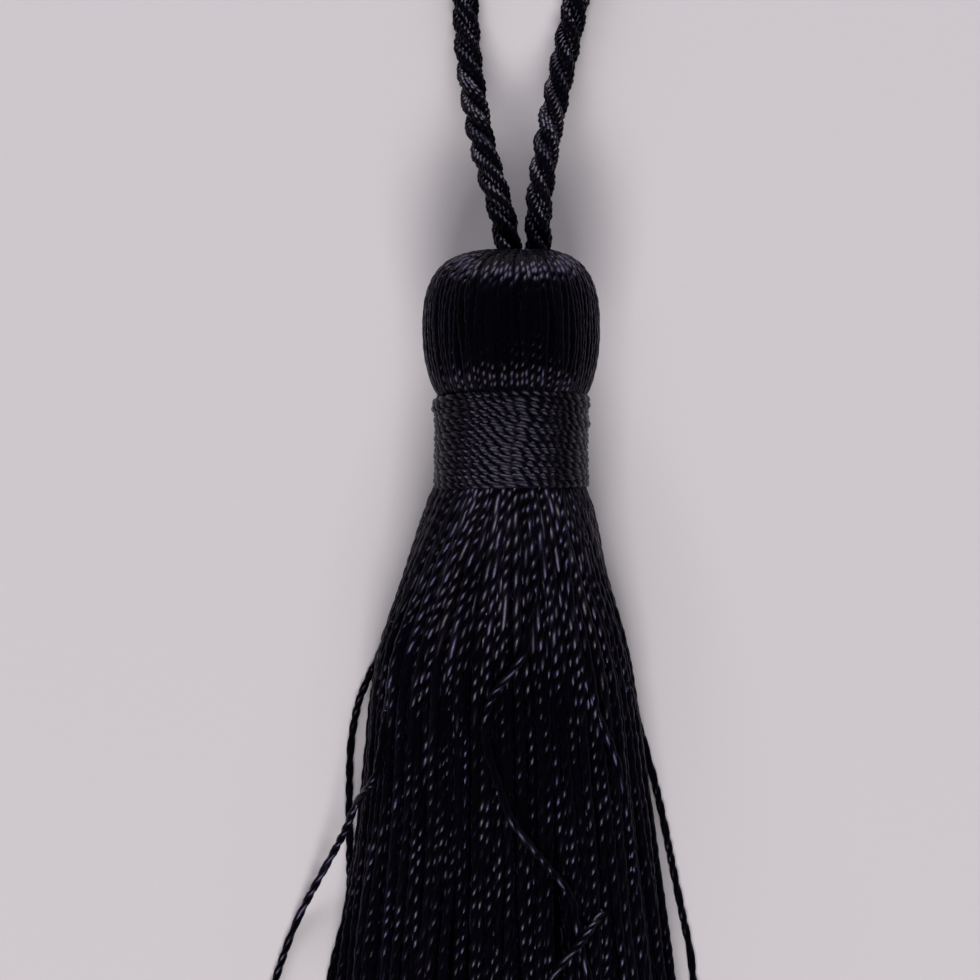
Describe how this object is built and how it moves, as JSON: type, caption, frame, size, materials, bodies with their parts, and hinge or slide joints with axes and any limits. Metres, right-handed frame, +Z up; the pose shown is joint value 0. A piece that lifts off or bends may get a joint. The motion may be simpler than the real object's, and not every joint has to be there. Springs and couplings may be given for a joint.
{
  "type": "tassel",
  "caption": "Silky black tassel lying flat: twisted hanging loop, round head, wound neck band and a spread skirt of loose yarn strands.",
  "frame": {"origin": "on the resting surface, in the middle of the flat spot under the head", "axes": "+Y from the skirt towards the hanging loop, +Z up from the resting surface"},
  "size_m": [0.038, 0.1306, 0.0118],
  "materials": {
    "hank_yarn": "silky two-ply yarn, near black",
    "band_yarn": "silky two-ply yarn, tightly wound, near black",
    "loop_cord": "three-ply twisted cord, near black"
  },
  "bodies": {
    "root": {"head_and_skirt": "hank_yarn", "neck_band": "band_yarn", "hanging_loop": "loop_cord"}
  },
  "joints": []
}
